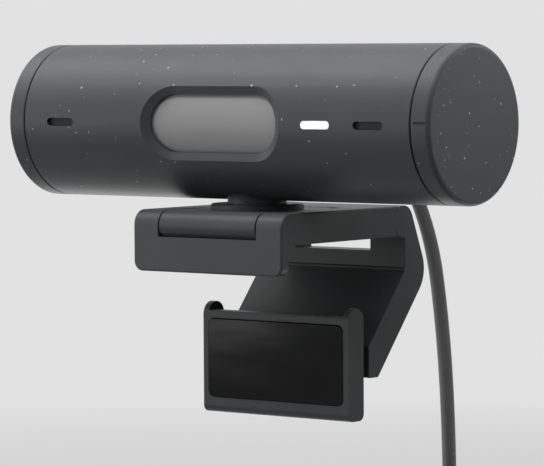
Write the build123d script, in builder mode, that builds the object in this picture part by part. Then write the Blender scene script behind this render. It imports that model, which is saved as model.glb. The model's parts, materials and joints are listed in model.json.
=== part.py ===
from build123d import *
from math import cos, degrees, pi, radians, sin, sqrt, tan
import os

# Webcam on a folding monitor clip, in millimetres.
# +X runs along the tube to the dial, +Y to the back and +Z up. The origin lies on the clip's seat,
# where it rests on a monitor's top edge, under the axis on which the camera swivels.

# Fits between pieces
run_gap = 0.3        # air between pieces that move past each other
pin_gap = 0.05       # radial clearance of pins and shafts
seat_gap = 0.05      # clearance of a piece that is seated in another
overcut = 1.0        # how far a cut runs past the face it opens

# Camera tube
body_d = 31.5
body_len = 106.5
tube_wall = 1.5
cap_len = 4.5
cap_wall = 1.8
cap_spigot = 3.0
spigot_wall = 1.5
seam_gap = 0.3
cap_seam = 0.2
seam_bevel = 0.15
edge_round = 0.9
neck_d = 12.0
neck_len = 0.65      # bare neck between the swivel disc and the tube
neck_flare = 2.8
boss_depth = 6.0     # depth of the threaded insert above the neck's foot

# Front openings
window_w = 35.2
window_h = 15.2
window_bevel = 1.7   # along the skin
window_sink = 1.2    # into the wall
slot_w = 7.1
slot_h = 1.65
mic_inset = 14.25    # each microphone from the tube's end
led_gap = 8.7        # the status light from the window's end
mic_recess = 0.8
pipe_recess = 0.12

# Privacy dial and shutter, with angles measured upwards from the front
shutter_t = 0.9
shutter_half_angle = 33.0
shutter_over = 2.3   # how far the shutter reaches past each end of the window
shutter_open_angle = 75.0
arm_low_angle = 17.0
key_rib = 1.2
hub_d = 6.0
shoulder_d = 10.0
tick_len = 2.6
tick_up = 0.6        # the mark's middle above the tube's axis
tick_shift = 0.4
tick_h = 0.6
tick_depth = 0.5
tick_fill = 0.35
tick_gap = 0.03
clip_ring_t = 0.8
clip_ring_w = 2.0

# Inner chassis, board and optics
bulkhead_t = 2.0
web_t = 1.6
tray_t = 1.6
tray_y = 5.6
tray_h = 20.0
board_gap = 0.35     # air between the board and the dial's shaft
board_h = 17.0
board_t = 1.0
board_y = 0.6        # front face of the board
screw_inset = 11.0   # screws from the board's ends
screw_z = 5.5
screw_d = 1.4
screw_head_d = 3.0
screw_head_t = 0.8
boss_d = 3.6
screw_bite = 2.4
relief_angle = 9.0  # angle left free on each side of the shutter's travel
panel_t = 1.0
panel_half_angle = 37.0
lens_hole_d = 10.4
lens_d = 9.8
lens_front = 11.1
lens_back = 3.6
barrel_rim = 0.3
glass_d = 6.0
glass_bulge = 0.5
glass_sink = 0.9
glass_t = 1.4
mount_w = 13.0
mount_depth = 3.6
collar_d = 12.4
collar_h = 3.0
chip_w = 3.5
chip_h = 2.6
chip_t = 1.0

# Swivel
disc_d = 19.0
disc_t = 1.1
disc_bevel = 0.35
stud_d = 6.2
stud_bevel = 0.4
insert_d = 8.6
shank_d = 5.2
washer_d = 9.2
washer_t = 0.5
retainer_d = 8.8
retainer_t = 1.1
retainer_screw_d = 2.4
retainer_bite = 2.6

# Clip: lip, arm and tilt plate
clip_w = 37.6
arm_h = 6.5
arm_under = 0.3      # the arm's underside above the pad that is the seat
lip_y = 16.55        # front face of the lip in front of the swivel axis
lip_t = 2.2
lip_drop = 5.8
lip_top = 1.2        # top edge of the lip below the barrel
lip_corner = 2.0
lip_edge = 0.4
barrel_d = 6.0
barrel_len = 24.2
barrel_gap = 0.4
plate_t = 2.3
plate_back = 11.5
plate_corner = 4.0
plate_drop = 0.05
tilt_pin_d = 2.0
pin_cover = 1.4      # material left over the blind ends of a pin
seat_pad_t = 0.8
seat_pad_margin = 2.6
seat_pad_len = 30.0
lip_pad_t = 0.7
lip_pad_proud = 0.3
lip_pad_margin = 3.3
lip_pad_h = 4.0
lip_pad_drop = 2.9
pad_corner = 1.2

# Rear leg
leg_y = 24.9
leg_z = 3.25
knuckle_d = 6.6
knuckle_len = 19.0   # the arm's own knuckle between the leg's two ears
knuckle_gap = 0.2
leg_inset = 0.2      # how far each side of the leg and the foot lies inside the clip's
leg_pin_d = 2.6
web_top = -3.0
knee_y = 25.5
knee_z = -6.6
leg_slope_angle = 40.8
leg_t = 6.6
upper_tilt_angle = 22.9
knee_round = 6.5
knee_hollow = 1.2
knee_rib_d = 0.9     # rib across the front of the knee
leg_end_y = 12.6
leg_bottom = -28.0
leg_edge = 0.5
panel_rim = 3.0
panel_sink = 0.8
panel_margin = 4.6

# Foot
foot_y = 5.5         # front face of the foot
foot_top = -15.2
foot_bottom = -36.4
cheek_top = -13.5
cheek_back = 10.8
cheek_t = 1.3
foot_wall = 1.4
foot_lip = 1.2
foot_round = 1.5
pivot_y = 9.0
pivot_z = -25.2
tongue_r = 1.7
tongue_side = 0.8    # air between the tongue and each cheek
foot_pin_d = 1.6
foot_pin_cover = 0.6
pad_margin = 1.25
pad_h = 16.5
pad_t = 0.8
pad_sink = 0.6
pad_round = 1.4
pad_bevel = 0.2
pad_centre = -25.0

# Lead, gland, coil and plug
cord_d = 3.1
gland_d = 6.2
gland_flange_d = 8.8
gland_flange_t = 1.4
gland_collar_d = 7.4
gland_collar_t = 1.6
gland_end_d = 4.2
gland_len = 11.6
gland_ribs = 4
gland_rib_w = 0.9
gland_rib_sink = 0.35
bend_share = 0.45    # share of the shorter run that a bend of the lead takes up
# Corners of the lead's route: back from the strain relief's end, and up from the tube's axis
route = ((0.0, 0.0), (8.5, 0.0), (18.5, -5.6), (25.3, -14.6), (32.7, -27.6), (36.0, -42.6), (38.2, -59.6),
         (39.2, -79.0), (39.2, -100.1))
coil_loops = 3
coil_layers = 4
coil_pitch = 3.7
coil_min_r = 12.2
coil_tail = 16.0
tie_gap = 0.6
tie_t = 1.0
tie_angle = 28.0
tie_round = 1.6
plug_w = 11.6
plug_h = 6.4
plug_len = 20.0
plug_round = 2.0
plug_neck_d = 5.0
plug_neck_len = 5.0
plug_neck_wall = 0.4
shell_w = 8.25
shell_h = 2.4
shell_len = 6.65
shell_wall = 0.3
shell_root = 2.0

# Heights and radii that follow from the sizes above
body_r = body_d / 2
bore_r = body_r - tube_wall
end_x = body_len / 2
mic_x = end_x - mic_inset
led_x = window_w / 2 + led_gap
tube_half = end_x - cap_len
plate_top = arm_h - plate_drop
plate_bottom = plate_top - plate_t
disc_z = plate_top + seat_gap
neck_z = disc_z + disc_t
tube_z = neck_z + neck_len
axis_z = tube_z + body_r
neck_r = neck_d / 2
lip_back = -lip_y + lip_t
lip_pad_w = clip_w - 2 * lip_pad_margin
seat_pad_w = clip_w - 2 * seat_pad_margin
leg_w = clip_w - 2 * leg_inset
foot_w = leg_w
pad_w = foot_w - 2 * pad_margin
barrel_r = barrel_d / 2
tilt_y = -lip_y + barrel_r
tilt_z = arm_h - barrel_r
cord_r = cord_d / 2
shutter_out = bore_r - run_gap
shutter_in = shutter_out - shutter_t
core_r = shutter_in - run_gap - seat_gap
panel_x = window_w / 2 + shutter_over
bulkhead_r = bore_r - seat_gap
dial_face = tube_half + seam_gap
dial_floor = end_x - cap_wall
bearing_out = tube_half - cap_spigot / 2
bearing_in = bearing_out - bulkhead_t
hub_end = bearing_in - clip_ring_t - 2 * seat_gap - overcut
tick_x = (dial_face + end_x - edge_round) / 2 + tick_shift
board_back = board_y + board_t
board_w = 2 * (hub_end - board_gap)
screw_x = board_w / 2 - screw_inset

front = Plane(origin=(0, 0, axis_z), x_dir=(1, 0, 0), z_dir=(0, -1, 0))
level = Plane.XY.offset(axis_z)
tube_axis = Axis((0, 0, axis_z), (1, 0, 0))
opening_axis = Axis((0, 0, axis_z), (-1, 0, 0))
lens_axis = Axis((0, 0, axis_z), (0, 1, 0))

os.makedirs("parts", exist_ok=True)


def write(piece, name):
    """Label a finished piece and write it as its own STEP file."""
    piece.part.label = name
    export_step(piece.part, f"parts/{name}.step")


def radial_plane(angle):
    """Plane through the tube's axis: local x along the tube, local y outwards at an angle above the front."""
    turn = radians(angle)
    return Plane(origin=(0, 0, axis_z), x_dir=(1, 0, 0), z_dir=(0, -sin(turn), -cos(turn)))


def sector(x_range, r_range, angles, mode=Mode.ADD):
    """Part of a ring about the tube's axis, between two places along it, two radii and two angles."""
    with BuildSketch(radial_plane(angles[0])) as profile:
        with Locations((sum(x_range) / 2, sum(r_range) / 2)):
            Rectangle(x_range[1] - x_range[0], r_range[1] - r_range[0])
    revolve(profile.sketch, axis=opening_axis, revolution_arc=angles[1] - angles[0], mode=mode)


def turned(points, plane, axis, mode=Mode.ADD):
    """Solid of revolution of a closed outline."""
    with BuildSketch(plane) as profile:
        with BuildLine():
            Polyline(*points, close=True)
        make_face()
    revolve(profile.sketch, axis=axis, mode=mode)


def rod(radius, half_length, y, z, mode=Mode.ADD):
    """Round bar along X, centred on the swivel axis."""
    with BuildSketch(Plane.YZ) as profile:
        with Locations((y, z)):
            Circle(radius)
    extrude(profile.sketch, amount=half_length, both=True, mode=mode)


def block(x_half, y_range, z_range, mode=Mode.ADD):
    """Bar along X with a rectangular section, centred on the swivel axis."""
    with BuildSketch(Plane.YZ) as profile:
        with Locations((sum(y_range) / 2, sum(z_range) / 2)):
            Rectangle(y_range[1] - y_range[0], z_range[1] - z_range[0])
    extrude(profile.sketch, amount=x_half, both=True, mode=mode)


def in_window(edge):
    """True for an edge in front of the tube's axis that lies within the window's width and height."""
    middle = edge @ 0.5
    return middle.Y < 0 and abs(middle.X) < window_w / 2 and abs(middle.Z - axis_z) < window_h / 2


def lines_meet(point, direction, other, other_direction):
    """Where two lines of a plane cross."""
    det = direction[1] * other_direction[0] - direction[0] * other_direction[1]
    gap = (other[0] - point[0], other[1] - point[1])
    step = (gap[1] * other_direction[0] - gap[0] * other_direction[1]) / det
    return (point[0] + step * direction[0], point[1] + step * direction[1])


# Housing: a tube with the neck moulded on, a bevelled window and three slots
with BuildPart() as housing_tube:
    rod(body_r, tube_half, 0, axis_z)
    with BuildSketch(Plane.XZ):
        with BuildLine():
            foot = Polyline((0, tube_z + neck_flare), (0, neck_z), (neck_r, neck_z), (neck_r, tube_z))
            flare = CenterArc((neck_r + neck_flare, tube_z), neck_flare, 180, -90)
            Line(flare @ 1, foot @ 0)
        make_face()
    revolve(axis=Axis.Z)
    rod(bore_r, tube_half, 0, axis_z, mode=Mode.SUBTRACT)
    with BuildSketch(Plane.XY.offset(neck_z)):
        Circle(neck_r)
    extrude(amount=boss_depth)
    with BuildSketch(Plane.XY.offset(neck_z)):
        Circle(insert_d / 2 + seat_gap)
    extrude(amount=boss_depth + overcut, mode=Mode.SUBTRACT)
    with BuildSketch(front):
        SlotOverall(window_w - 2 * window_bevel, window_h - 2 * window_bevel)
        with Locations((-mic_x, 0), (mic_x, 0), (led_x, 0)):
            SlotOverall(slot_w, slot_h)
    extrude(amount=body_r + overcut, mode=Mode.SUBTRACT)
    with BuildSketch(front):
        Circle(gland_d / 2 + seat_gap)
    extrude(amount=-body_r - overcut, mode=Mode.SUBTRACT)

    skin = housing_tube.faces().filter_by(GeomType.CYLINDER).sort_by(SortBy.AREA)[-1]
    rim_edges = skin.edges().filter_by(in_window)
    chamfer(rim_edges, window_bevel, window_sink, reference=skin)
    rims = housing_tube.edges().filter_by(GeomType.CIRCLE).group_by(SortBy.RADIUS)[-1]
    chamfer(rims.filter_by_position(Axis.X, -tube_half, tube_half), seam_bevel)
write(housing_tube, "housing_tube")

# Fixed end cap, with a spigot in the tube's bore
with BuildPart() as left_end_cap:
    spigot_r = bore_r - seat_gap
    cap_face = -tube_half - cap_seam
    turned(
        [(cap_face, axis_z + body_r), (-end_x, axis_z + body_r), (-end_x, axis_z),
         (-end_x + cap_wall, axis_z), (-end_x + cap_wall, axis_z + spigot_r - spigot_wall),
         (-tube_half + cap_spigot, axis_z + spigot_r - spigot_wall),
         (-tube_half + cap_spigot, axis_z + spigot_r), (cap_face, axis_z + spigot_r)],
        Plane.XZ, tube_axis)
    rims = left_end_cap.edges().filter_by(GeomType.CIRCLE).group_by(SortBy.RADIUS)[-1]
    fillet(rims.sort_by(Axis.X)[0], edge_round)
    chamfer(rims.sort_by(Axis.X)[-1], seam_bevel)
write(left_end_cap, "left_end_cap")

# Dial: a cup on a shaft that runs in the chassis, with two ribs that hold the shutter's arm
with BuildPart() as dial_cap:
    turned(
        [(dial_face, axis_z + body_r), (end_x, axis_z + body_r), (end_x, axis_z), (hub_end, axis_z),
         (hub_end, axis_z + hub_d / 2), (bearing_out + seat_gap, axis_z + hub_d / 2),
         (bearing_out + seat_gap, axis_z + shoulder_d / 2), (dial_floor, axis_z + shoulder_d / 2),
         (dial_floor, axis_z + bore_r), (dial_face, axis_z + bore_r)],
        Plane.XZ, tube_axis)
    rims = dial_cap.edges().filter_by(GeomType.CIRCLE).group_by(SortBy.RADIUS)[-1]
    fillet(rims.sort_by(Axis.X)[-1], edge_round)
    chamfer(rims.sort_by(Axis.X)[0], seam_bevel)
    rib_turn = degrees(key_rib / shutter_in)
    arm_slack = degrees(seat_gap / shutter_in)
    for low in (arm_low_angle - arm_slack - rib_turn, shutter_half_angle + arm_slack):
        sector((dial_face, dial_floor), (shutter_in, bore_r), (low, low + rib_turn))
    with BuildSketch(front.offset(body_r - tick_depth)):
        with Locations((tick_x, tick_up)):
            Rectangle(tick_len, tick_h)
    extrude(amount=tick_depth + overcut, mode=Mode.SUBTRACT)
write(dial_cap, "dial_cap")

with BuildPart() as dial_mark:
    with BuildSketch(front.offset(body_r - tick_depth)):
        with Locations((tick_x, tick_up)):
            Rectangle(tick_len - 2 * tick_gap, tick_h - 2 * tick_gap)
    extrude(amount=tick_fill)
write(dial_mark, "dial_mark")

with BuildPart() as dial_clip:
    with BuildSketch(Plane.YZ.offset(bearing_in - seat_gap - clip_ring_t)):
        with Locations((0, axis_z)):
            Circle(hub_d / 2 + clip_ring_w)
            Circle(hub_d / 2 + seat_gap, mode=Mode.SUBTRACT)
    extrude(amount=clip_ring_t)
write(dial_clip, "dial_clip")

# Shutter: a curved panel behind the window and the arm that joins it to the dial
with BuildPart() as shutter:
    sector((-panel_x, panel_x), (shutter_in, shutter_out), (-shutter_half_angle, shutter_half_angle))
    sector((panel_x, dial_floor), (shutter_in, shutter_out), (arm_low_angle, shutter_half_angle))
write(shutter, "shutter")

# Chassis: bulkheads that seat in the tube, webs beside the lens panel and a tray for the board
with BuildPart() as core_frame:
    web_x = panel_x + seat_gap
    left_face = -tube_half + cap_spigot + seat_gap
    for x, radius, depth in ((left_face, bulkhead_r, bulkhead_t), (bearing_in, bulkhead_r, bulkhead_t),
                             (-web_x - web_t, core_r, web_t), (web_x, core_r, web_t)):
        with BuildSketch(Plane.YZ.offset(x)):
            with Locations((0, axis_z)):
                Circle(radius)
        extrude(amount=depth)
    with BuildSketch(Plane.XZ.offset(-tray_y)):
        with Locations(((left_face + bearing_out) / 2, axis_z)):
            Rectangle(bearing_out - left_face, tray_h)
    extrude(amount=-tray_t)
    with BuildSketch(Plane.XZ.offset(-board_back)):
        with Locations((0, axis_z)):
            with GridLocations(2 * screw_x, 2 * screw_z, 2, 2):
                Circle(boss_d / 2)
    extrude(amount=board_back - tray_y)
    with BuildSketch(Plane.XZ.offset(-board_back)):
        with Locations((0, axis_z)):
            with GridLocations(2 * screw_x, 2 * screw_z, 2, 2):
                Circle(screw_d / 2 + seat_gap)
    extrude(amount=-screw_bite - seat_gap, mode=Mode.SUBTRACT)
    block(panel_x + web_t + overcut, (board_y - seat_gap - screw_head_t, board_back + seat_gap),
          (axis_z - board_h / 2 - seat_gap, axis_z + board_h / 2 + seat_gap), mode=Mode.SUBTRACT)
    relief = (arm_low_angle - relief_angle, shutter_half_angle + shutter_open_angle + relief_angle)
    sector((bearing_in - overcut, bearing_out + overcut), (core_r, body_r), relief, mode=Mode.SUBTRACT)
    with BuildSketch(Plane.YZ.offset(bearing_in)):
        with Locations((0, axis_z)):
            Circle(hub_d / 2 + pin_gap)
    extrude(amount=bulkhead_t, mode=Mode.SUBTRACT)
write(core_frame, "core_frame")

with BuildPart() as main_board:
    with BuildSketch(Plane.XZ.offset(-board_y)):
        with Locations((0, axis_z)):
            Rectangle(board_w, board_h)
            with GridLocations(2 * screw_x, 2 * screw_z, 2, 2):
                Circle(screw_d / 2 + seat_gap, mode=Mode.SUBTRACT)
    extrude(amount=-board_t)
write(main_board, "main_board")

with BuildPart() as board_screws:
    with BuildSketch(Plane.XZ.offset(-board_y)):
        with Locations((0, axis_z)):
            with GridLocations(2 * screw_x, 2 * screw_z, 2, 2):
                Circle(screw_head_d / 2)
    extrude(amount=screw_head_t)
    with BuildSketch(Plane.XZ.offset(-board_y)):
        with Locations((0, axis_z)):
            with GridLocations(2 * screw_x, 2 * screw_z, 2, 2):
                Circle(screw_d / 2)
    extrude(amount=-board_t - screw_bite)
write(board_screws, "board_screws")

# Optics: a mount on the board, the barrel in its collar, the front glass and the curved dark panel
with BuildPart() as lens_mount:
    with BuildSketch(front.offset(-board_y)):
        Rectangle(mount_w, mount_w)
    extrude(amount=mount_depth)
    with BuildSketch(front.offset(-board_y + mount_depth)):
        Circle(collar_d / 2)
    extrude(amount=collar_h)
    with BuildSketch(front.offset(lens_back - seat_gap)):
        Circle(lens_d / 2 + seat_gap)
    extrude(amount=lens_front, mode=Mode.SUBTRACT)
write(lens_mount, "lens_mount")

with BuildPart() as lens_barrel:
    lens_r = lens_d / 2
    glass_r = glass_d / 2
    pocket = lens_front - glass_sink
    turned(
        [(0, -lens_back), (lens_r, -lens_back), (lens_r, -lens_front), (lens_r - barrel_rim, -lens_front),
         (glass_r + seat_gap, -pocket), (glass_r + seat_gap, -pocket + glass_t), (0, -pocket + glass_t)],
        level, lens_axis)
write(lens_barrel, "lens_barrel")

with BuildPart() as front_lens:
    with BuildSketch(level):
        with BuildLine():
            rim = Polyline((0, -pocket - glass_bulge), (0, -pocket + glass_t), (glass_r, -pocket + glass_t),
                           (glass_r, -pocket))
            RadiusArc(rim @ 1, rim @ 0, (glass_r**2 + glass_bulge**2) / (2 * glass_bulge))
        make_face()
    revolve(axis=lens_axis)
write(front_lens, "front_lens")

with BuildPart() as lens_window:
    sector((-panel_x, panel_x), (core_r - panel_t, core_r), (-panel_half_angle, panel_half_angle))
    with BuildSketch(front):
        Circle(lens_hole_d / 2)
    extrude(amount=body_r, mode=Mode.SUBTRACT)
write(lens_window, "lens_window")

# Status light and microphones behind their slots
with BuildPart() as status_led:
    with BuildSketch(front.offset(-board_y)):
        with Locations((led_x, 0)):
            Rectangle(chip_w, chip_h)
    extrude(amount=chip_t)
write(status_led, "status_led")

with BuildPart() as light_pipe:
    with BuildSketch(front.offset(chip_t - board_y + seat_gap)):
        with Locations((led_x, 0)):
            SlotOverall(slot_w - 2 * seat_gap, slot_h - 2 * seat_gap)
    extrude(amount=body_r - pipe_recess - chip_t + board_y - seat_gap)
write(light_pipe, "light_pipe")

with BuildPart() as microphones:
    with BuildSketch(front.offset(-board_y)):
        with Locations((-mic_x, 0), (mic_x, 0)):
            Rectangle(chip_w, chip_h)
    extrude(amount=chip_t)
write(microphones, "microphones")

with BuildPart() as mic_inserts:
    with BuildSketch(front.offset(chip_t - board_y + seat_gap)):
        with Locations((-mic_x, 0), (mic_x, 0)):
            SlotOverall(slot_w - 2 * seat_gap, slot_h - 2 * seat_gap)
    extrude(amount=body_r - mic_recess - chip_t + board_y - seat_gap)
write(mic_inserts, "mic_inserts")

# Swivel: an insert in the neck, the disc, the stud through both, and the screw that holds the plate
with BuildPart() as thread_insert:
    with BuildSketch(Plane.XY.offset(neck_z)):
        Circle(insert_d / 2)
        Circle(stud_d / 2 + seat_gap, mode=Mode.SUBTRACT)
    extrude(amount=boss_depth)
write(thread_insert, "thread_insert")

shank_z = plate_bottom - washer_t - 2 * seat_gap
with BuildPart() as swivel_disc:
    with BuildSketch(Plane.XY.offset(disc_z)):
        Circle(disc_d / 2)
    extrude(amount=disc_t)
    chamfer(swivel_disc.edges().group_by(Axis.Z)[-1], disc_bevel)
    with BuildSketch(Plane.XY.offset(disc_z)):
        Circle(stud_d / 2 + seat_gap)
    extrude(amount=disc_t, mode=Mode.SUBTRACT)
write(swivel_disc, "swivel_disc")

with BuildPart() as swivel_stud:
    with BuildSketch(Plane.XY.offset(disc_z)):
        Circle(stud_d / 2)
    extrude(amount=disc_t + boss_depth - seat_gap)
    chamfer(swivel_stud.edges().group_by(Axis.Z)[-1], stud_bevel)
    with BuildSketch(Plane.XY.offset(shank_z)):
        Circle(shank_d / 2)
    extrude(amount=disc_z - shank_z)
    with BuildSketch(Plane.XY.offset(shank_z)):
        Circle(retainer_screw_d / 2 + seat_gap)
    extrude(amount=retainer_bite + seat_gap, mode=Mode.SUBTRACT)
write(swivel_stud, "swivel_stud")

with BuildPart() as swivel_washer:
    with BuildSketch(Plane.XY.offset(shank_z + seat_gap)):
        Circle(washer_d / 2)
        Circle(shank_d / 2 + pin_gap, mode=Mode.SUBTRACT)
    extrude(amount=washer_t)
write(swivel_washer, "swivel_washer")

with BuildPart() as swivel_retainer:
    with BuildSketch(Plane.XY.offset(shank_z - retainer_t)):
        Circle(retainer_d / 2)
    extrude(amount=retainer_t)
    with BuildSketch(Plane.XY.offset(shank_z)):
        Circle(retainer_screw_d / 2)
    extrude(amount=retainer_bite)
write(swivel_retainer, "swivel_retainer")

# Tilt plate: a flat tongue on the barrel of the front hinge
with BuildPart() as tilt_plate:
    with BuildSketch(Plane.XY.offset(plate_bottom)):
        with Locations((0, (tilt_y + plate_back) / 2)):
            Rectangle(barrel_len, plate_back - tilt_y)
    extrude(amount=plate_t)
    fillet(tilt_plate.edges().filter_by(Axis.Z).group_by(Axis.Y)[-1], plate_corner)
    rod(barrel_r, barrel_len / 2, tilt_y, tilt_z)
    rod(tilt_pin_d / 2 + pin_gap, barrel_len, tilt_y, tilt_z, mode=Mode.SUBTRACT)
    with BuildSketch(Plane.XY.offset(plate_bottom)):
        Circle(shank_d / 2 + pin_gap)
    extrude(amount=plate_t, mode=Mode.SUBTRACT)
write(tilt_plate, "tilt_plate")

# Clip base: front lip with two ears, the arm with its sunk bay for the tilt plate, and the rear knuckle
bay_half = barrel_len / 2 + barrel_gap
bay_floor = plate_bottom - run_gap
well_floor = shank_z - retainer_t - run_gap
seat_pad_back = lip_back + seat_pad_margin + seat_pad_len
with BuildPart() as clip_base:
    with BuildSketch(Plane.YZ):
        with BuildLine():
            front_line = Line((-lip_y, -lip_drop), (-lip_y, tilt_z))
            nose = CenterArc((tilt_y, tilt_z), barrel_r, 180, -90)
            Polyline(nose @ 1, (leg_y, arm_h), (leg_y, arm_under), (lip_back, arm_under),
                     (lip_back, -lip_drop), front_line @ 0)
        make_face()
    extrude(amount=clip_w / 2, both=True)
    fillet(clip_base.edges().filter_by(Axis.Y).group_by(Axis.Z)[0], lip_corner)
    fillet(clip_base.faces().sort_by(Axis.Y)[0].edges().filter_by(lambda edge: (edge @ 0.5).Z < 0), lip_edge)
    for side in (-1, 1):
        with BuildSketch(Plane.YZ.offset(side * knuckle_len / 2)):
            with Locations((leg_y, leg_z)):
                Circle(knuckle_d / 2 + run_gap)
                Rectangle(knuckle_d, 2 * knuckle_d, align=(Align.MIN, Align.CENTER))
        extrude(amount=side * clip_w, mode=Mode.SUBTRACT)
    rod(knuckle_d / 2, knuckle_len / 2, leg_y, leg_z)
    rod(barrel_r + run_gap, bay_half, tilt_y, tilt_z, mode=Mode.SUBTRACT)
    block(bay_half, (-lip_y - overcut, tilt_y), (lip_top, arm_h + overcut), mode=Mode.SUBTRACT)
    block(bay_half, (tilt_y, plate_back + run_gap), (bay_floor, arm_h + overcut), mode=Mode.SUBTRACT)
    with BuildSketch(Plane.XY.offset(well_floor)):
        Circle(retainer_d / 2 + run_gap)
    extrude(amount=bay_floor - well_floor, mode=Mode.SUBTRACT)
    rod(tilt_pin_d / 2 + pin_gap, clip_w / 2 - pin_cover, tilt_y, tilt_z, mode=Mode.SUBTRACT)
    rod(leg_pin_d / 2 + pin_gap, clip_w, leg_y, leg_z, mode=Mode.SUBTRACT)
    with BuildSketch(Plane.XY):
        with Locations((0, seat_pad_back - seat_pad_len / 2)):
            RectangleRounded(seat_pad_w, seat_pad_len, pad_corner)
    extrude(amount=seat_pad_t, mode=Mode.SUBTRACT)
    with BuildSketch(Plane.XZ.offset(-lip_back)):
        with Locations((0, -lip_pad_drop)):
            RectangleRounded(lip_pad_w, lip_pad_h, pad_corner)
    extrude(amount=lip_pad_t - lip_pad_proud, mode=Mode.SUBTRACT)
write(clip_base, "clip_base")

with BuildPart() as seat_pad:
    with BuildSketch(Plane.XY):
        with Locations((0, seat_pad_back - seat_pad_len / 2)):
            RectangleRounded(seat_pad_w - 2 * seat_gap, seat_pad_len - 2 * seat_gap, pad_corner)
    extrude(amount=seat_pad_t)
write(seat_pad, "seat_pad")

with BuildPart() as lip_pad:
    with BuildSketch(Plane.XZ.offset(-lip_back + lip_pad_t - lip_pad_proud)):
        with Locations((0, -lip_pad_drop)):
            RectangleRounded(lip_pad_w - 2 * seat_gap, lip_pad_h - 2 * seat_gap, pad_corner)
    extrude(amount=-lip_pad_t)
write(lip_pad, "lip_pad")

with BuildPart() as tilt_pin:
    rod(tilt_pin_d / 2, clip_w / 2 - pin_cover - seat_gap, tilt_y, tilt_z)
write(tilt_pin, "tilt_pin")

with BuildPart() as leg_pin:
    rod(leg_pin_d / 2, leg_w / 2 - pin_cover - seat_gap, leg_y, leg_z)
write(leg_pin, "leg_pin")

# Rear leg: two ears on the hinge, a web below the arm, a ribbed knee and a sloping blade with a sunk back
slope = radians(leg_slope_angle)
tilt = radians(upper_tilt_angle)
down_leg = (-sin(slope), -cos(slope))
out_leg = (cos(slope), -sin(slope))
knee = (knee_y, knee_z)
knuckle_r = knuckle_d / 2
shoulder = (leg_y + knuckle_r * cos(tilt), leg_z + knuckle_r * sin(tilt))
back_line = (knee_y + leg_t * out_leg[0], knee_z + leg_t * out_leg[1])
heel = lines_meet(shoulder, (sin(tilt), -cos(tilt)), back_line, down_leg)
back_end = lines_meet(back_line, down_leg, (0, leg_bottom), (1, 0))
front_end = lines_meet(knee, down_leg, (leg_end_y, 0), (0, 1))
tongue_half = foot_w / 2 - cheek_t - tongue_side
ear_in = knuckle_len / 2 + knuckle_gap
with BuildPart() as rear_leg:
    with BuildSketch(Plane.YZ):
        with BuildLine():
            FilletPolyline(
                (leg_y, leg_z), shoulder, heel, back_end, (leg_end_y, leg_bottom), front_end, knee,
                (knee_y, leg_z), radius=(0, knee_round, leg_edge, leg_edge, 0, knee_hollow), close=False)
            Line((knee_y, leg_z), (leg_y, leg_z))
        make_face()
        with Locations((leg_y, leg_z)):
            Circle(knuckle_r)
        with Locations(knee):
            Circle(knee_rib_d / 2)
    extrude(amount=leg_w / 2, both=True)
    block(ear_in, (leg_y - knuckle_d, leg_y + 2 * knuckle_d), (web_top, leg_z + knuckle_d),
          mode=Mode.SUBTRACT)
    with BuildSketch(Plane.YZ):
        with BuildLine():
            Polyline((pivot_y, pivot_z + tongue_r), front_end, (leg_end_y, leg_bottom),
                     (pivot_y, pivot_z - tongue_r), close=True)
        make_face()
        with Locations((pivot_y, pivot_z)):
            Circle(tongue_r)
    extrude(amount=tongue_half, both=True)
    blade_len = (heel[1] - back_end[1]) / cos(slope)
    blade_back = Plane(
        origin=(0, (heel[0] + back_end[0]) / 2, (heel[1] + back_end[1]) / 2),
        x_dir=(1, 0, 0), z_dir=(0, out_leg[0], out_leg[1]))
    with BuildSketch(blade_back):
        RectangleRounded(leg_w - 2 * panel_rim, blade_len - 2 * panel_margin, pad_corner)
    extrude(amount=-panel_sink, mode=Mode.SUBTRACT)
    rod(leg_pin_d / 2 + pin_gap, leg_w / 2 - pin_cover, leg_y, leg_z, mode=Mode.SUBTRACT)
    rod(foot_pin_d / 2 + pin_gap, leg_w, pivot_y, pivot_z, mode=Mode.SUBTRACT)
write(rear_leg, "rear_leg")

with BuildPart() as foot_pin:
    rod(foot_pin_d / 2, foot_w / 2 - foot_pin_cover - seat_gap, pivot_y, pivot_z)
write(foot_pin, "foot_pin")

# Foot: a tray with round-topped cheeks that rocks on the leg's end, and its glossy pad
cheek_r = (cheek_back - foot_y) / 2
with BuildPart() as foot_frame:
    with BuildSketch(Plane.YZ):
        with BuildLine():
            crown = CenterArc((foot_y + cheek_r, cheek_top - cheek_r), cheek_r, 0, 180)
            FilletPolyline(crown @ 1, (foot_y, foot_bottom), (cheek_back, foot_bottom), crown @ 0,
                           radius=foot_round)
        make_face()
    extrude(amount=foot_w / 2, both=True)
    tray_half = foot_w / 2 - cheek_t
    block(tray_half, (foot_y - overcut, cheek_back + overcut), (foot_top, cheek_top + overcut),
          mode=Mode.SUBTRACT)
    block(tray_half, (foot_y + foot_wall, cheek_back + overcut), (foot_bottom + foot_lip, foot_top),
          mode=Mode.SUBTRACT)
    block(tray_half, (foot_y + foot_wall, foot_y + foot_wall + foot_lip), (foot_top - foot_lip, foot_top))
    with BuildSketch(Plane.XZ.offset(-foot_y)):
        with Locations((0, pad_centre)):
            RectangleRounded(pad_w, pad_h, pad_round)
    extrude(amount=-pad_sink, mode=Mode.SUBTRACT)
    rod(foot_pin_d / 2 + pin_gap, foot_w / 2 - foot_pin_cover, pivot_y, pivot_z, mode=Mode.SUBTRACT)
write(foot_frame, "foot_frame")

with BuildPart() as foot_pad:
    with BuildSketch(Plane.XZ.offset(-foot_y - pad_sink)):
        with Locations((0, pad_centre)):
            RectangleRounded(pad_w - 2 * seat_gap, pad_h - 2 * seat_gap, pad_round)
    extrude(amount=pad_t)
    chamfer(foot_pad.faces().sort_by(Axis.Y)[0].edges(), pad_bevel)
write(foot_pad, "foot_pad")

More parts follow.
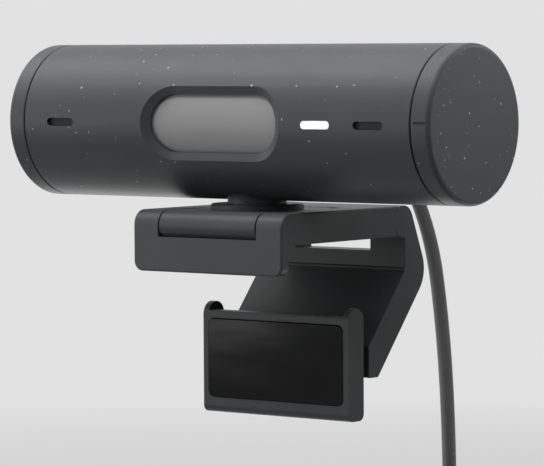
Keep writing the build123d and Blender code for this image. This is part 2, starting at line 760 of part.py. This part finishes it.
# Strain relief: a flange inside the tube, a collar outside and a ribbed taper
gland_r = gland_d / 2
flange_r = gland_flange_d / 2
flange_y = sqrt(bore_r**2 - flange_r**2) - seat_gap
collar_y = body_r + seat_gap
taper_y = collar_y + gland_collar_t
gland_end = taper_y + gland_len
with BuildPart() as cable_gland:
    turned(
        [(0, flange_y - gland_flange_t), (flange_r, flange_y - gland_flange_t), (flange_r, flange_y),
         (gland_r, flange_y), (gland_r, collar_y), (gland_collar_d / 2, collar_y),
         (gland_collar_d / 2, taper_y), (gland_r, taper_y), (gland_end_d / 2, gland_end), (0, gland_end)],
        level, lens_axis)
    rib_step = gland_len / (gland_ribs + 1)
    for rib in range(1, gland_ribs + 1):
        y = taper_y + rib * rib_step
        radius = gland_r + (gland_end_d / 2 - gland_r) * (y - taper_y) / gland_len
        turned(
            [(radius - gland_rib_sink, y - gland_rib_w / 2), (gland_collar_d, y - gland_rib_w / 2),
             (gland_collar_d, y + gland_rib_w / 2), (radius - gland_rib_sink, y + gland_rib_w / 2)],
            level, lens_axis, mode=Mode.SUBTRACT)
write(cable_gland, "cable_gland")


def bend_radii(points):
    """Radius of each corner of a route: a share of the shorter run over the tangent of half the turn."""
    radii = []
    for before, corner, after in zip(points, points[1:], points[2:]):
        run_in = Vector(corner) - Vector(before)
        run_out = Vector(after) - Vector(corner)
        half_turn = radians(run_in.get_angle(run_out)) / 2
        radii.append(bend_share * min(run_in.length, run_out.length) / tan(half_turn))
    return radii


# Lead: straight runs joined by large arcs, from the strain relief down to the coil
run_points = [(0, gland_end + seat_gap + back, axis_z + up) for back, up in route]
run_radii = bend_radii(run_points)
with BuildPart() as cable_run:
    with BuildLine() as run_path:
        FilletPolyline(*run_points, radius=run_radii)
    run_wire = run_path.wire()
    with BuildSketch(Plane(origin=run_wire @ 0, z_dir=run_wire % 0)):
        Circle(cord_r)
    sweep(path=run_wire)
write(cable_run, "cable_run")

# Coil: loops that spiral in and out again in four layers, climbing where the spiral reverses
coil_turns = 2 * coil_loops * coil_layers
reversals = [2 * coil_loops * layer + 0.5 for layer in range(1, coil_layers)]
coil_start_r = coil_min_r + coil_pitch / 2 * reversals[0]
coil_y = run_points[-1][1] - coil_start_r
coil_z = run_points[-1][2] - cord_d


def nearest_inner(half_turn):
    """Place of the nearest reversal at the inside of the coil."""
    return min(reversals[::2], key=lambda place: abs(place - half_turn))


def coil_radius(half_turn):
    """Radius of the cord's middle after a number of half turns."""
    return coil_min_r + coil_pitch / 2 * abs(half_turn - nearest_inner(half_turn))


def coil_node(half_turn):
    """Point and direction of the cord's middle after a whole number of half turns."""
    radius = coil_radius(half_turn)
    layer = sum(half_turn > place for place in reversals)
    turn = pi * half_turn
    point = Vector(layer * coil_pitch, coil_y + radius * cos(turn), coil_z - radius * sin(turn))
    if half_turn in (0, coil_turns):
        return point, Vector(0, 0, -1)
    growth = coil_pitch / 2 if half_turn > nearest_inner(half_turn) else -coil_pitch / 2
    across = growth * cos(turn) - radius * pi * sin(turn)
    upward = -growth * sin(turn) - radius * pi * cos(turn)
    return point, Vector(0, across, upward).normalized()


def biarc(start, end):
    """Two arcs that join two points with given directions smoothly."""
    (a, direction_a), (b, direction_b) = start, end
    chord = b - a
    turn = direction_a + direction_b
    square = 2 * (direction_a.dot(direction_b) - 1)
    linear = -2 * chord.dot(turn)
    reach = (-linear - sqrt(linear**2 - 4 * square * chord.dot(chord))) / (2 * square)
    corner_a = a + direction_a * reach
    corner_b = b - direction_b * reach
    middle = (corner_a + corner_b) * 0.5
    TangentArc(a, middle, tangent=direction_a)
    TangentArc(middle, b, tangent=corner_b - corner_a)


coil_nodes = [coil_node(half_turn) for half_turn in range(coil_turns + 1)]
tail_end = coil_nodes[-1][0] + Vector(0, 0, -coil_tail)
with BuildPart() as cable_coil:
    with BuildLine() as coil_path:
        Line(coil_nodes[0][0] + Vector(0, 0, cord_d), coil_nodes[0][0])
        for start, end in zip(coil_nodes, coil_nodes[1:]):
            biarc(start, end)
        Line(coil_nodes[-1][0], tail_end)
    coil_wire = coil_path.wire()
    with BuildSketch(Plane(origin=coil_wire @ 0, z_dir=coil_wire % 0)):
        Circle(cord_r)
    sweep(path=coil_wire)
write(cable_coil, "cable_coil")


def least_gap(wire, count, skip):
    """Smallest air gap between stretches of a coil that are more than skip apart along it."""
    points = [wire @ (i / count) for i in range(count + 1)]
    step = wire.length / count
    apart = int(skip / step) + 1
    return min((p - q).length for i, p in enumerate(points) for q in points[i + apart:]) - cord_d


gap_samples = 1200
section = pi * cord_r**2
print("lead radii", [round(radius, 1) for radius in run_radii])
print("lead volume", round(cable_run.part.volume), "of", round(section * run_wire.length))
print("coil volume", round(cable_coil.part.volume), "of", round(section * coil_wire.length))
print("coil least gap", round(least_gap(coil_wire, gap_samples, pi * coil_min_r), 2))
print("lead length", round(run_wire.length + coil_wire.length))

# Tie: a band round the top of the coil
top_radii = [coil_min_r + coil_pitch * (loop + 0.5) for loop in range(coil_loops)]
tie_r = sum(top_radii) / coil_loops
tie_high = top_radii[-1] - top_radii[0] + cord_d + 2 * tie_gap
coil_deep = (coil_layers - 1) * coil_pitch
tie_wide = coil_deep + cord_d + 2 * tie_gap
coil_axis = Axis((0, coil_y, coil_z), (1, 0, 0))
lean = radians(tie_angle / 2)
tie_plane = Plane(origin=(coil_deep / 2, coil_y, coil_z), x_dir=(1, 0, 0), z_dir=(0, -cos(lean), sin(lean)))
with BuildPart() as coil_tie:
    with BuildSketch(tie_plane):
        with Locations((0, tie_r)):
            RectangleRounded(tie_wide + 2 * tie_t, tie_high + 2 * tie_t, tie_round)
            RectangleRounded(tie_wide, tie_high, tie_round - tie_t, mode=Mode.SUBTRACT)
    revolve(axis=coil_axis, revolution_arc=tie_angle)
write(coil_tie, "coil_tie")

# Plug: moulded grip with a tapered neck, metal shell and the insulator at the shell's root
grip_top = tail_end.Z - plug_neck_len
plug_x = tail_end.X
plug_y = tail_end.Y
grip_end = grip_top - plug_len
with BuildPart() as usb_plug_body:
    with BuildSketch(Plane(origin=(plug_x, plug_y, grip_end))):
        RectangleRounded(plug_h, plug_w, plug_round)
    extrude(amount=plug_len)
    fillet(usb_plug_body.edges().group_by(Axis.Z)[-1], plug_round / 2)
    with BuildSketch(Plane(origin=(plug_x, plug_y, grip_top))):
        Circle(plug_neck_d / 2)
    with BuildSketch(Plane(origin=(plug_x, plug_y, tail_end.Z))):
        Circle(cord_r + plug_neck_wall)
    loft()
write(usb_plug_body, "usb_plug_body")

with BuildPart() as usb_plug_shell:
    with BuildSketch(Plane(origin=(plug_x, plug_y, grip_end - shell_len))):
        SlotOverall(shell_w, shell_h, rotation=90)
        SlotOverall(shell_w - 2 * shell_wall, shell_h - 2 * shell_wall, rotation=90, mode=Mode.SUBTRACT)
    extrude(amount=shell_len)
write(usb_plug_shell, "usb_plug_shell")

with BuildPart() as usb_insulator:
    with BuildSketch(Plane(origin=(plug_x, plug_y, grip_end - shell_root))):
        SlotOverall(shell_w - 2 * (shell_wall + seat_gap), shell_h - 2 * (shell_wall + seat_gap), rotation=90)
    extrude(amount=shell_root)
write(usb_insulator, "usb_insulator")
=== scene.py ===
import json
import math

import bpy
from mathutils import Matrix, Vector


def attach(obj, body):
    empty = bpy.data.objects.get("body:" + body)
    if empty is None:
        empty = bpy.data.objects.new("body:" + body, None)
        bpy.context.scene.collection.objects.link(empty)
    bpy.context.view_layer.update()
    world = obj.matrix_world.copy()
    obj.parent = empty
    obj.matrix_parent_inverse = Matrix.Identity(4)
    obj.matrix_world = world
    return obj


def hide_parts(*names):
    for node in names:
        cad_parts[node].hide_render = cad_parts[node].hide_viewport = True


# Looks of the webcam on its monitor clip. Everything is in metres, in the frame of the solids:
# +X along the tube to the dial, +Y to the back, +Z up, origin on the clip's seat.
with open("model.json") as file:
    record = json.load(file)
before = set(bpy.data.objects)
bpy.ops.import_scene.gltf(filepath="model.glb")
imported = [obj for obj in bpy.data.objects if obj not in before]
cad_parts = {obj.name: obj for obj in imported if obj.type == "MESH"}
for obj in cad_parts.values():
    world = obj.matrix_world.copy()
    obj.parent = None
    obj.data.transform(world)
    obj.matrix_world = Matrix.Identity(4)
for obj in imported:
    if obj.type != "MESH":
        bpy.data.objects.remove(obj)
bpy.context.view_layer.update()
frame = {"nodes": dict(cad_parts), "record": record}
nodes = frame["nodes"]

# Camera, where the photograph was taken from: place in metres, angles in radians
CAMERA_PLACE = (0.411951, -0.528927, 0.039909)
CAMERA_YAW = 0.6573
CAMERA_PITCH = 0.0572
CAMERA_ROLL = -0.0057
FOCAL_PX = 3317.37
PHOTO_WIDTH_PX = 544
SENSOR_MM = 36.0
VIEW_NEAR = 0.01
VIEW_FAR = 50.0

# Finishes
NOISE_RANGE = (0.3, 0.7)  # most values of a noise texture lie in this range
SLOW_SCALE = 55.0  # slow changes of tone, per metre
GLOSS_SWING = 0.06  # roughness up and down over a moulded grain
FLECK_COLOUR = (0.7, 0.69, 0.67)
# Cells per metre, radius of a fleck in its cell, and the share of the cells that hold one
FLECK_LAYERS = ((520.0, 0.11, 0.42), (300.0, 0.085, 0.4))
FLECK_CORE = 0.6  # share of the radius that is solid
FLECK_FAINTEST = 0.08
METAL_LINES = (400.0, 4000.0, 4000.0)  # per metre on X, Y and Z: long and fine along X
METAL_TONES = (0.8, 1.15)  # darkest and lightest line, as shares of the colour
METAL_GLOSS = (-0.07, 0.09)  # roughness down and up over the lines
METAL_DEPTH = 0.00001
GLOW = (0.5, 0.9)  # strength of the status light, from its dimmer to its brighter spots
GLOW_MOTTLE = 420.0  # per metre
PAD_STREAKS = (30.0, 30.0, 140.0)  # per metre on X, Y and Z
PAD_GLOSS = (0.08, 0.13)  # roughness, from the clearest streak to the dullest
PAD_DEPTH = 0.00004
GLASS_MOTTLE = 260.0  # per metre
# Sockets of the colour mix node, which have the same names as its other kinds of input
MIX_FACTOR = 0
MIX_FIRST = 6
MIX_SECOND = 7
MIX_RESULT = 2

# Lead: where it leaves the strain relief in Y and Z, its route back and up from there, and its coil
CORD_D = 0.0031
EXIT = (0.02905, 0.024)
ROUTE = ((0.0, 0.0), (0.0085, 0.0), (0.0185, -0.0056), (0.0253, -0.0146), (0.0327, -0.0276),
         (0.036, -0.0426), (0.0382, -0.0596), (0.0392, -0.079), (0.0392, -0.1001))
COIL_LOOPS = 3
COIL_LAYERS = 4
COIL_PITCH = 0.0037
COIL_MIN_R = 0.0122
COIL_TAIL = 0.016
POINTS_PER_TURN = 16

# Stage
PALE = (0.76, 0.76, 0.76)  # surround and far floor, as seen
FLOOR = (0.8, 0.8, 0.8)  # floor near the object, as seen
BOUNCE = (0.12, 0.12, 0.12)  # floor, for the light that it throws back
FILL = (0.9, 0.95, 1.0)  # surround, for the light that it gives
FILL_STRENGTH = 0.07
FLOOR_Z = -0.128
FLOOR_RINGS = (0.3, 0.6, 1.0, 1.6, 3.0, 12.0)
FLOOR_SPOKES = 64
FADE = (0.25, 0.9)  # distances between which the floor fades into the surround
WIDE = 180.0  # spread of a plain lamp
# Name, place, target, size, power in watts and spread in degrees
LAMPS = (
    ("top_softbox", (-0.1, 0.16, 0.74), (-0.03, 0.0, 0.02), (1.2, 0.5), 4.7, WIDE),
    ("front_top", (-0.1, -0.28, 0.62), (0.0, -0.01, 0.01), (0.7, 0.2), 2.2, WIDE),
    ("key_left", (-0.65, -0.15, 0.45), (0.0, 0.0, 0.0), (0.5, 0.5), 2.4, WIDE),
    ("front_soft", (-0.6, -0.8, 0.2), (0.0, 0.0, 0.0), (0.8, 0.6), 1.4, WIDE),
    ("front_left", (-0.807, -0.715, -0.016), (0.0, 0.0, 0.0), (0.4, 0.2), 1.25, WIDE),
    ("dial_top", (0.18, -0.05, 0.18), (0.056, 0.01, 0.03), (0.1, 0.1), 0.015, 50.0),
    ("dial_rim", (0.12, 0.1, 0.07), (0.053, 0.006, 0.036), (0.06, 0.06), 0.0036, 40.0),
    ("back_rim", (-0.15, 0.22, -0.12), (-0.15, 0.22, 0.5), (0.6, 0.25), 0.6, WIDE),
)


def add_object(name, data):
    """A new object in the scene."""
    thing = bpy.data.objects.new(name, data)
    bpy.context.scene.collection.objects.link(thing)
    return thing


def make_camera():
    """Camera at the photograph's place, turned by its own angles."""
    flat = math.cos(CAMERA_PITCH)
    ahead = Vector((-math.sin(CAMERA_YAW) * flat, math.cos(CAMERA_YAW) * flat, -math.sin(CAMERA_PITCH)))
    level = Vector((math.cos(CAMERA_YAW), math.sin(CAMERA_YAW), 0))
    above = level.cross(ahead)
    right = level * math.cos(CAMERA_ROLL) + above * math.sin(CAMERA_ROLL)
    up = above * math.cos(CAMERA_ROLL) - level * math.sin(CAMERA_ROLL)
    data = bpy.data.cameras.new("photo_camera")
    data.sensor_width = SENSOR_MM
    data.lens = FOCAL_PX * SENSOR_MM / PHOTO_WIDTH_PX
    data.clip_start = VIEW_NEAR
    data.clip_end = VIEW_FAR
    camera = add_object("photo_camera", data)
    turn = Matrix((right, up, -ahead)).transposed()
    camera.matrix_world = Matrix.Translation(CAMERA_PLACE) @ turn.to_4x4()
    bpy.context.scene.camera = camera


class Surface:
    """A Principled material and the nodes that feed it, in object coordinates."""

    def __init__(self, name, colour, roughness, **sockets):
        self.name = name
        self.material = bpy.data.materials.new(name)
        self.material.use_nodes = True
        self.material.diffuse_color = (*colour, 1)
        self.tree = self.material.node_tree
        self.bsdf = self.tree.nodes["Principled BSDF"]
        self.bsdf.inputs["Base Color"].default_value = (*colour, 1)
        self.bsdf.inputs["Roughness"].default_value = roughness
        for socket, value in sockets.items():
            self.bsdf.inputs[socket.replace("_", " ")].default_value = value
        self.coords = self.add("ShaderNodeTexCoord").outputs["Object"]

    def add(self, kind, **settings):
        node = self.tree.nodes.new(kind)
        for key, value in settings.items():
            setattr(node, key, value)
        return node

    def link(self, source, target):
        self.tree.links.new(source, target)

    def noise(self, scale, detail=2.0, rough=0.5):
        """Noise at a number of features per metre, one for all axes or one for each."""
        node = self.add("ShaderNodeTexNoise")
        node.inputs["Detail"].default_value = detail
        node.inputs["Roughness"].default_value = rough
        source = self.coords
        if isinstance(scale, tuple):
            mapping = self.add("ShaderNodeMapping")
            mapping.inputs["Scale"].default_value = scale
            self.link(source, mapping.inputs["Vector"])
            source = mapping.outputs["Vector"]
            scale = 1.0
        node.inputs["Scale"].default_value = scale
        self.link(source, node.inputs["Vector"])
        return node.outputs["Fac"]

    def span(self, value, source_range, low, high):
        """Map a value from its range to another, held at the ends."""
        node = self.add("ShaderNodeMapRange")
        ends = (*source_range, low, high)
        for socket, number in zip(("From Min", "From Max", "To Min", "To Max"), ends):
            node.inputs[socket].default_value = number
        self.link(value, node.inputs["Value"])
        return node.outputs["Result"]

    def calc(self, operation, first, second):
        """One operation on two values, each a socket or a number."""
        node = self.add("ShaderNodeMath", operation=operation)
        for socket, value in zip(node.inputs, (first, second)):
            if isinstance(value, (int, float)):
                socket.default_value = value
            else:
                self.link(value, socket)
        return node.outputs["Value"]

    def blend(self, factor, first, second):
        """Colour between two colours, each a socket or three numbers."""
        node = self.add("ShaderNodeMix", data_type="RGBA")
        self.link(factor, node.inputs[MIX_FACTOR])
        for place, value in ((MIX_FIRST, first), (MIX_SECOND, second)):
            if isinstance(value, tuple):
                node.inputs[place].default_value = (*value, 1)
            else:
                self.link(value, node.inputs[place])
        return node.outputs[MIX_RESULT]

    def set_colour(self, source):
        self.tone = source
        self.link(source, self.bsdf.inputs["Base Color"])

    def set_rough(self, noise, low, high):
        self.link(self.span(noise, NOISE_RANGE, low, high), self.bsdf.inputs["Roughness"])

    def bump(self, height, distance):
        """Relief from a height of 0 to 1, so many metres deep."""
        node = self.add("ShaderNodeBump")
        node.inputs["Strength"].default_value = 1.0
        node.inputs["Distance"].default_value = distance
        self.link(height, node.inputs["Height"])
        self.link(node.outputs["Normal"], self.bsdf.inputs["Normal"])


def scaled(colour, factor):
    """A darker or lighter colour, no lighter than white."""
    return tuple(min(1.0, channel * factor) for channel in colour)


def moulded(name, colour, roughness, vary=0.12, grain=3200.0, depth=0.00002, **sockets):
    """Moulded plastic: slow tone changes, a fine spark-eroded grain and uneven gloss."""
    surface = Surface(name, colour, roughness, **sockets)
    slow = surface.noise(SLOW_SCALE, detail=3.0)
    surface.set_colour(surface.blend(slow, scaled(colour, 1 - vary), scaled(colour, 1 + vary)))
    fine = surface.noise(grain)
    surface.set_rough(fine, roughness - GLOSS_SWING, roughness + GLOSS_SWING)
    surface.bump(fine, depth)
    return surface


def flecked(name, colour, roughness, **sockets):
    """Moulded plastic from recycled stock, with sparse pale flecks."""
    surface = moulded(name, colour, roughness, **sockets)
    for scale, radius, share in FLECK_LAYERS:
        cells = surface.add("ShaderNodeTexVoronoi")
        cells.inputs["Scale"].default_value = scale
        surface.link(surface.coords, cells.inputs["Vector"])
        chance = surface.add("ShaderNodeSeparateColor")
        surface.link(cells.outputs["Color"], chance.inputs["Color"])
        dot = surface.span(cells.outputs["Distance"], (radius * FLECK_CORE, radius), 1.0, 0.0)
        kept = surface.calc("GREATER_THAN", chance.outputs["Red"], 1 - share)
        level = surface.calc("POWER", chance.outputs["Green"], 2.0)
        bright = surface.span(level, (0.0, 1.0), FLECK_FAINTEST, 1.0)
        spot = surface.calc("MULTIPLY", surface.calc("MULTIPLY", dot, kept), bright)
        surface.set_colour(surface.blend(spot, surface.tone, FLECK_COLOUR))
    return surface


def metal(name, colour, roughness, density=METAL_LINES):
    """Drawn or turned metal with fine lines along the axis that has the fewest per metre."""
    surface = Surface(name, colour, roughness, Metallic=1.0)
    lines = surface.noise(density, detail=3.0, rough=0.6)
    dark, light = METAL_TONES
    surface.set_colour(surface.blend(lines, scaled(colour, dark), scaled(colour, light)))
    surface.set_rough(lines, *(roughness + swing for swing in METAL_GLOSS))
    surface.bump(lines, METAL_DEPTH)
    return surface


def lit_white():
    """Frosted light guide with a softly uneven glow."""
    surface = Surface("light_white", (0.85, 0.87, 0.9), 0.35, Emission_Color=(0.93, 0.96, 1.0, 1))
    soft = surface.noise(GLOW_MOTTLE, detail=1.0)
    surface.set_colour(surface.blend(soft, (0.8, 0.82, 0.85), (0.9, 0.92, 0.95)))
    surface.link(surface.span(soft, NOISE_RANGE, *GLOW), surface.bsdf.inputs["Emission Strength"])
    return surface


def polished_pad():
    """Smooth black grip pad: a clear gloss with faint wiped streaks."""
    surface = Surface("pad_gloss", (0.006, 0.0066, 0.0063), 0.1, Specular_IOR_Level=0.1)
    streaks = surface.noise(PAD_STREAKS)
    surface.set_colour(surface.blend(streaks, (0.005, 0.0055, 0.0053), (0.008, 0.0088, 0.0083)))
    surface.set_rough(streaks, *PAD_GLOSS)
    surface.bump(streaks, PAD_DEPTH)
    return surface


def coated_glass():
    """Dark lens with a violet coating."""
    surface = Surface("lens_glass", (0.03, 0.02, 0.05), 0.04, IOR=1.6, Coat_Weight=0.6)
    tint = surface.noise(GLASS_MOTTLE, detail=1.0)
    surface.set_colour(surface.blend(tint, (0.01, 0.012, 0.03), (0.035, 0.015, 0.05)))
    return surface


def make_finishes():
    """The finish of each material slot: colour, roughness and, where it differs, the grain."""
    surfaces = (
        flecked("graphite_shell", (0.067, 0.069, 0.073), 0.42, Specular_IOR_Level=0.21),
        moulded("graphite_clip", (0.072, 0.074, 0.077), 0.4, Specular_IOR_Level=0.15),
        moulded("shutter_grey", (0.318, 0.314, 0.313), 0.5, vary=0.06),
        moulded("inner_plastic", (0.016, 0.016, 0.018), 0.5),
        moulded("board", (0.015, 0.08, 0.04), 0.35),
        moulded("chip", (0.02, 0.02, 0.021), 0.5),
        moulded("panel_gloss", (0.006, 0.006, 0.007), 0.12, grain=900.0, depth=0.000002),
        moulded("slot_black", (0.007, 0.007, 0.007), 0.7, grain=5200.0, depth=0.00006),
        metal("brass", (0.62, 0.44, 0.18), 0.32),
        metal("steel", (0.5, 0.5, 0.51), 0.3),
        moulded("swivel_black", (0.018, 0.018, 0.019), 0.42),
        moulded("pad_rubber", (0.02, 0.02, 0.021), 0.7, grain=2600.0, depth=0.00005),
        moulded("cord_jacket", (0.105, 0.105, 0.109), 0.5, grain=2600.0, depth=0.00003),
        moulded("tie_band", (0.05, 0.05, 0.052), 0.75, grain=3000.0, depth=0.00008),
        moulded("plug_grip", (0.08, 0.08, 0.083), 0.42),
        metal("plug_steel", (0.55, 0.55, 0.56), 0.25, (4000.0, 4000.0, 300.0)),
        lit_white(),
        polished_pad(),
        coated_glass(),
    )
    return {surface.name: surface.material for surface in surfaces}


def dress_solids(finishes):
    """Give every solid the finish of its slot in the record."""
    for entry in frame["record"]["subparts"]:
        piece = nodes[entry["node"]]
        piece.data.materials.clear()
        piece.data.materials.append(finishes[entry["material_slot"]])


def coil_points(start_y, start_z):
    """Control points of the coil: spirals in and out, layer by layer, as its solid does."""
    per_layer = 2 * COIL_LOOPS
    half_turns = per_layer * COIL_LAYERS
    # Places, in half turns, where the lead is halfway to the next layer, at the inside first
    reversals = [per_layer * layer + 0.5 for layer in range(1, COIL_LAYERS)]
    inner = reversals[::2]
    middle_y = start_y - (COIL_MIN_R + COIL_PITCH / 2 * inner[0])
    middle_z = start_z - CORD_D
    # The spline runs inside its control points by this much
    outset = 1 / math.cos(math.pi / POINTS_PER_TURN)
    steps = POINTS_PER_TURN // 2
    points = []
    for step in range(1, half_turns * steps + 1):
        passed = step / steps
        radius = outset * (COIL_MIN_R + COIL_PITCH / 2 * min(abs(passed - place) for place in inner))
        layer = sum(min(1.0, max(0.0, passed - place + 0.5)) for place in reversals)
        turn = math.pi * passed
        points.append((layer * COIL_PITCH, middle_y + radius * math.cos(turn),
                       middle_z - radius * math.sin(turn)))
    end_x, end_y, end_z = points[-1]
    end_y = middle_y + (end_y - middle_y) / outset
    points[-1] = (end_x, end_y, end_z)
    points.append((end_x, end_y, middle_z - COIL_TAIL))
    return points


def make_cord(jacket):
    """Lead: one smooth line from the strain relief, down behind the clip, through the coil to the plug."""
    points = [(0.0, EXIT[0] + back, EXIT[1] + up) for back, up in ROUTE]
    points += coil_points(*points[-1][1:])
    data = bpy.data.curves.new("lead", "CURVE")
    data.dimensions = "3D"
    data.resolution_u = 6
    data.bevel_depth = CORD_D / 2
    data.bevel_resolution = 4
    data.use_fill_caps = True
    spline = data.splines.new("NURBS")
    spline.points.add(len(points) - 1)
    for control, point in zip(spline.points, points):
        control.co = (*point, 1)
    spline.order_u = 3
    spline.use_endpoint_u = True
    data.materials.append(jacket)
    cord = add_object("lead", data)
    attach(cord, "camera")
    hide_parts("cable_run", "cable_coil")


def seen_rays(tree):
    """1 for the rays that show the background: from the camera, through glass or off a gloss."""
    path = tree.nodes.new("ShaderNodeLightPath")
    seen = path.outputs["Is Camera Ray"]
    for kind in ("Is Transmission Ray", "Is Glossy Ray"):
        either = tree.nodes.new("ShaderNodeMath")
        either.operation = "MAXIMUM"
        tree.links.new(seen, either.inputs[0])
        tree.links.new(path.outputs[kind], either.inputs[1])
        seen = either.outputs["Value"]
    return seen


def floor_mesh():
    """A round floor of rings about the origin."""
    verts = [(0, 0, FLOOR_Z)]
    for radius in FLOOR_RINGS:
        for spoke in range(FLOOR_SPOKES):
            turn = math.tau * spoke / FLOOR_SPOKES
            verts.append((radius * math.cos(turn), radius * math.sin(turn), FLOOR_Z))
    faces = []
    for spoke in range(FLOOR_SPOKES):
        after = (spoke + 1) % FLOOR_SPOKES
        faces.append((0, 1 + spoke, 1 + after))
        for ring in range(len(FLOOR_RINGS) - 1):
            low = 1 + ring * FLOOR_SPOKES
            high = low + FLOOR_SPOKES
            faces.append((low + spoke, high + spoke, high + after, low + after))
    mesh = bpy.data.meshes.new("floor")
    mesh.from_pydata(verts, [], faces)
    return mesh


def make_floor():
    """Pale floor that keeps the object's shadow and fades into an equally pale surround."""
    mesh = floor_mesh()
    add_object("floor", mesh)
    surface = Surface("floor", PALE, 0.8, Specular_IOR_Level=0.1)
    glow = surface.add("ShaderNodeEmission")
    glow.inputs["Color"].default_value = (*PALE, 1)
    distance = surface.add("ShaderNodeVectorMath", operation="LENGTH")
    surface.link(surface.coords, distance.inputs[0])
    far = surface.span(distance.outputs["Value"], FADE, 0.0, 1.0)
    seen = seen_rays(surface.tree)
    surface.set_colour(surface.blend(seen, BOUNCE, FLOOR))
    mix = surface.add("ShaderNodeMixShader")
    surface.link(surface.calc("MULTIPLY", far, seen), mix.inputs["Fac"])
    surface.link(surface.bsdf.outputs["BSDF"], mix.inputs[1])
    surface.link(glow.outputs["Emission"], mix.inputs[2])
    surface.link(mix.outputs["Shader"], surface.tree.nodes["Material Output"].inputs["Surface"])
    mesh.materials.append(surface.material)


def make_world():
    """Surround that is seen as pale and gives only a weak fill light."""
    world = bpy.data.worlds.new("studio")
    bpy.context.scene.world = world
    world.use_nodes = True
    tree = world.node_tree
    tree.nodes.clear()
    shown = tree.nodes.new("ShaderNodeBackground")
    shown.inputs["Color"].default_value = (*PALE, 1)
    fill = tree.nodes.new("ShaderNodeBackground")
    fill.inputs["Color"].default_value = (*FILL, 1)
    fill.inputs["Strength"].default_value = FILL_STRENGTH
    mix = tree.nodes.new("ShaderNodeMixShader")
    tree.links.new(seen_rays(tree), mix.inputs["Fac"])
    tree.links.new(fill.outputs["Background"], mix.inputs[1])
    tree.links.new(shown.outputs["Background"], mix.inputs[2])
    out = tree.nodes.new("ShaderNodeOutputWorld")
    tree.links.new(mix.outputs["Shader"], out.inputs["Surface"])


def make_lamp(name, place, target, size, power, spread):
    """Soft lamp that faces its target and isn't seen itself."""
    data = bpy.data.lights.new(name, "AREA")
    data.shape = "RECTANGLE"
    data.size, data.size_y = size
    data.energy = power
    data.spread = math.radians(spread)
    lamp = add_object(name, data)
    lamp.location = place
    lamp.rotation_euler = (Vector(target) - Vector(place)).to_track_quat("-Z", "Y").to_euler()
    lamp.visible_camera = False


make_camera()
finishes = make_finishes()
dress_solids(finishes)
make_cord(finishes["cord_jacket"])
make_floor()
make_world()
for lamp in LAMPS:
    make_lamp(*lamp)

bpy.context.scene.view_settings.view_transform = "Standard"
